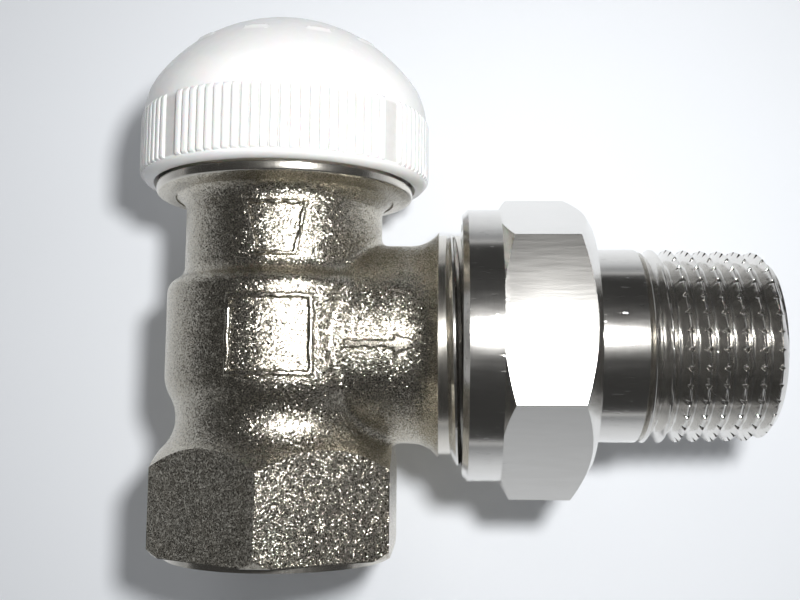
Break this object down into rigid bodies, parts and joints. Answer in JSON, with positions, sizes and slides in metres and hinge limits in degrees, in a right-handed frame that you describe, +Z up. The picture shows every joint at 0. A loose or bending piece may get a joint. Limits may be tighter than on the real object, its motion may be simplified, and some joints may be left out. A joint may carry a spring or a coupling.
{
  "type": "angle lockshield radiator valve",
  "caption": "Angle lockshield valve for a radiator: threaded inlet below, union tail at the side, ribbed screw cap over a key-set spindle.",
  "frame": {"origin": "middle of the inlet's threaded hole at the inlet face", "axes": "+Z up the spindle towards the cap, +X along the tail towards the radiator"},
  "size_m": [0.0686, 0.0322, 0.0591],
  "materials": {
    "plated_casting": "nickel-plated brass casting, grained",
    "plated_turned": "nickel-plated turned brass",
    "turned_brass": "turned brass",
    "spindle_steel": "turned steel",
    "white_plastic": "white moulded plastic, glossy",
    "white_washer": "low-friction washer plastic",
    "black_rubber": "black sealing rubber"
  },
  "bodies": {
    "body": {"valve_body": "plated_casting", "headwork_seal": "black_rubber", "headwork": "turned_brass", "thrust_washer": "white_washer", "spindle_seal_lower": "black_rubber", "spindle_seal_upper": "black_rubber", "gland_nut": "turned_brass"},
    "spindle": {"drive_spindle": "spindle_steel"},
    "plug": {"plug": "turned_brass", "seat_washer": "black_rubber", "washer_screw": "turned_brass"},
    "cap_ring": {"cap_gasket": "black_rubber"},
    "cap": {"cap": "white_plastic"},
    "tail": {"tailpiece": "plated_turned", "tail_seal": "black_rubber"},
    "nut": {"union_nut": "plated_turned"}
  },
  "joints": [
    {"name": "spindle_turn", "type": "hinge", "parent": "body", "child": "spindle", "pos_m": [0, 0, 0.045], "axis": [0, 0, 1], "range_deg": [0, 1080]},
    {"name": "plug_lift", "type": "slide", "parent": "body", "child": "plug", "axis": [0, 0, 1], "range_m": [0, 0.003]},
    {"name": "cap_lift", "type": "slide", "parent": "body", "child": "cap_ring", "axis": [0, 0, 1], "range_m": [0, 0.00825]},
    {"name": "cap_turn", "type": "hinge", "parent": "cap_ring", "child": "cap", "pos_m": [0, 0, 0.045], "axis": [0, 0, 1], "range_deg": [0, 1980]},
    {"name": "union_draw", "type": "slide", "parent": "body", "child": "tail", "axis": [1, 0, 0], "range_m": [0, 0.00726]},
    {"name": "nut_turn", "type": "hinge", "parent": "tail", "child": "nut", "pos_m": [0.0267, 0, 0.023], "axis": [1, 0, 0], "range_deg": [0, 1440]}
  ],
  "couplings": [
    {"joint": "spindle_turn", "follows": "plug_lift", "rad_per_m": 6283.2},
    {"joint": "cap_turn", "follows": "cap_lift", "rad_per_m": 4188.8},
    {"joint": "nut_turn", "follows": "union_draw", "rad_per_m": 3463.1}
  ]
}
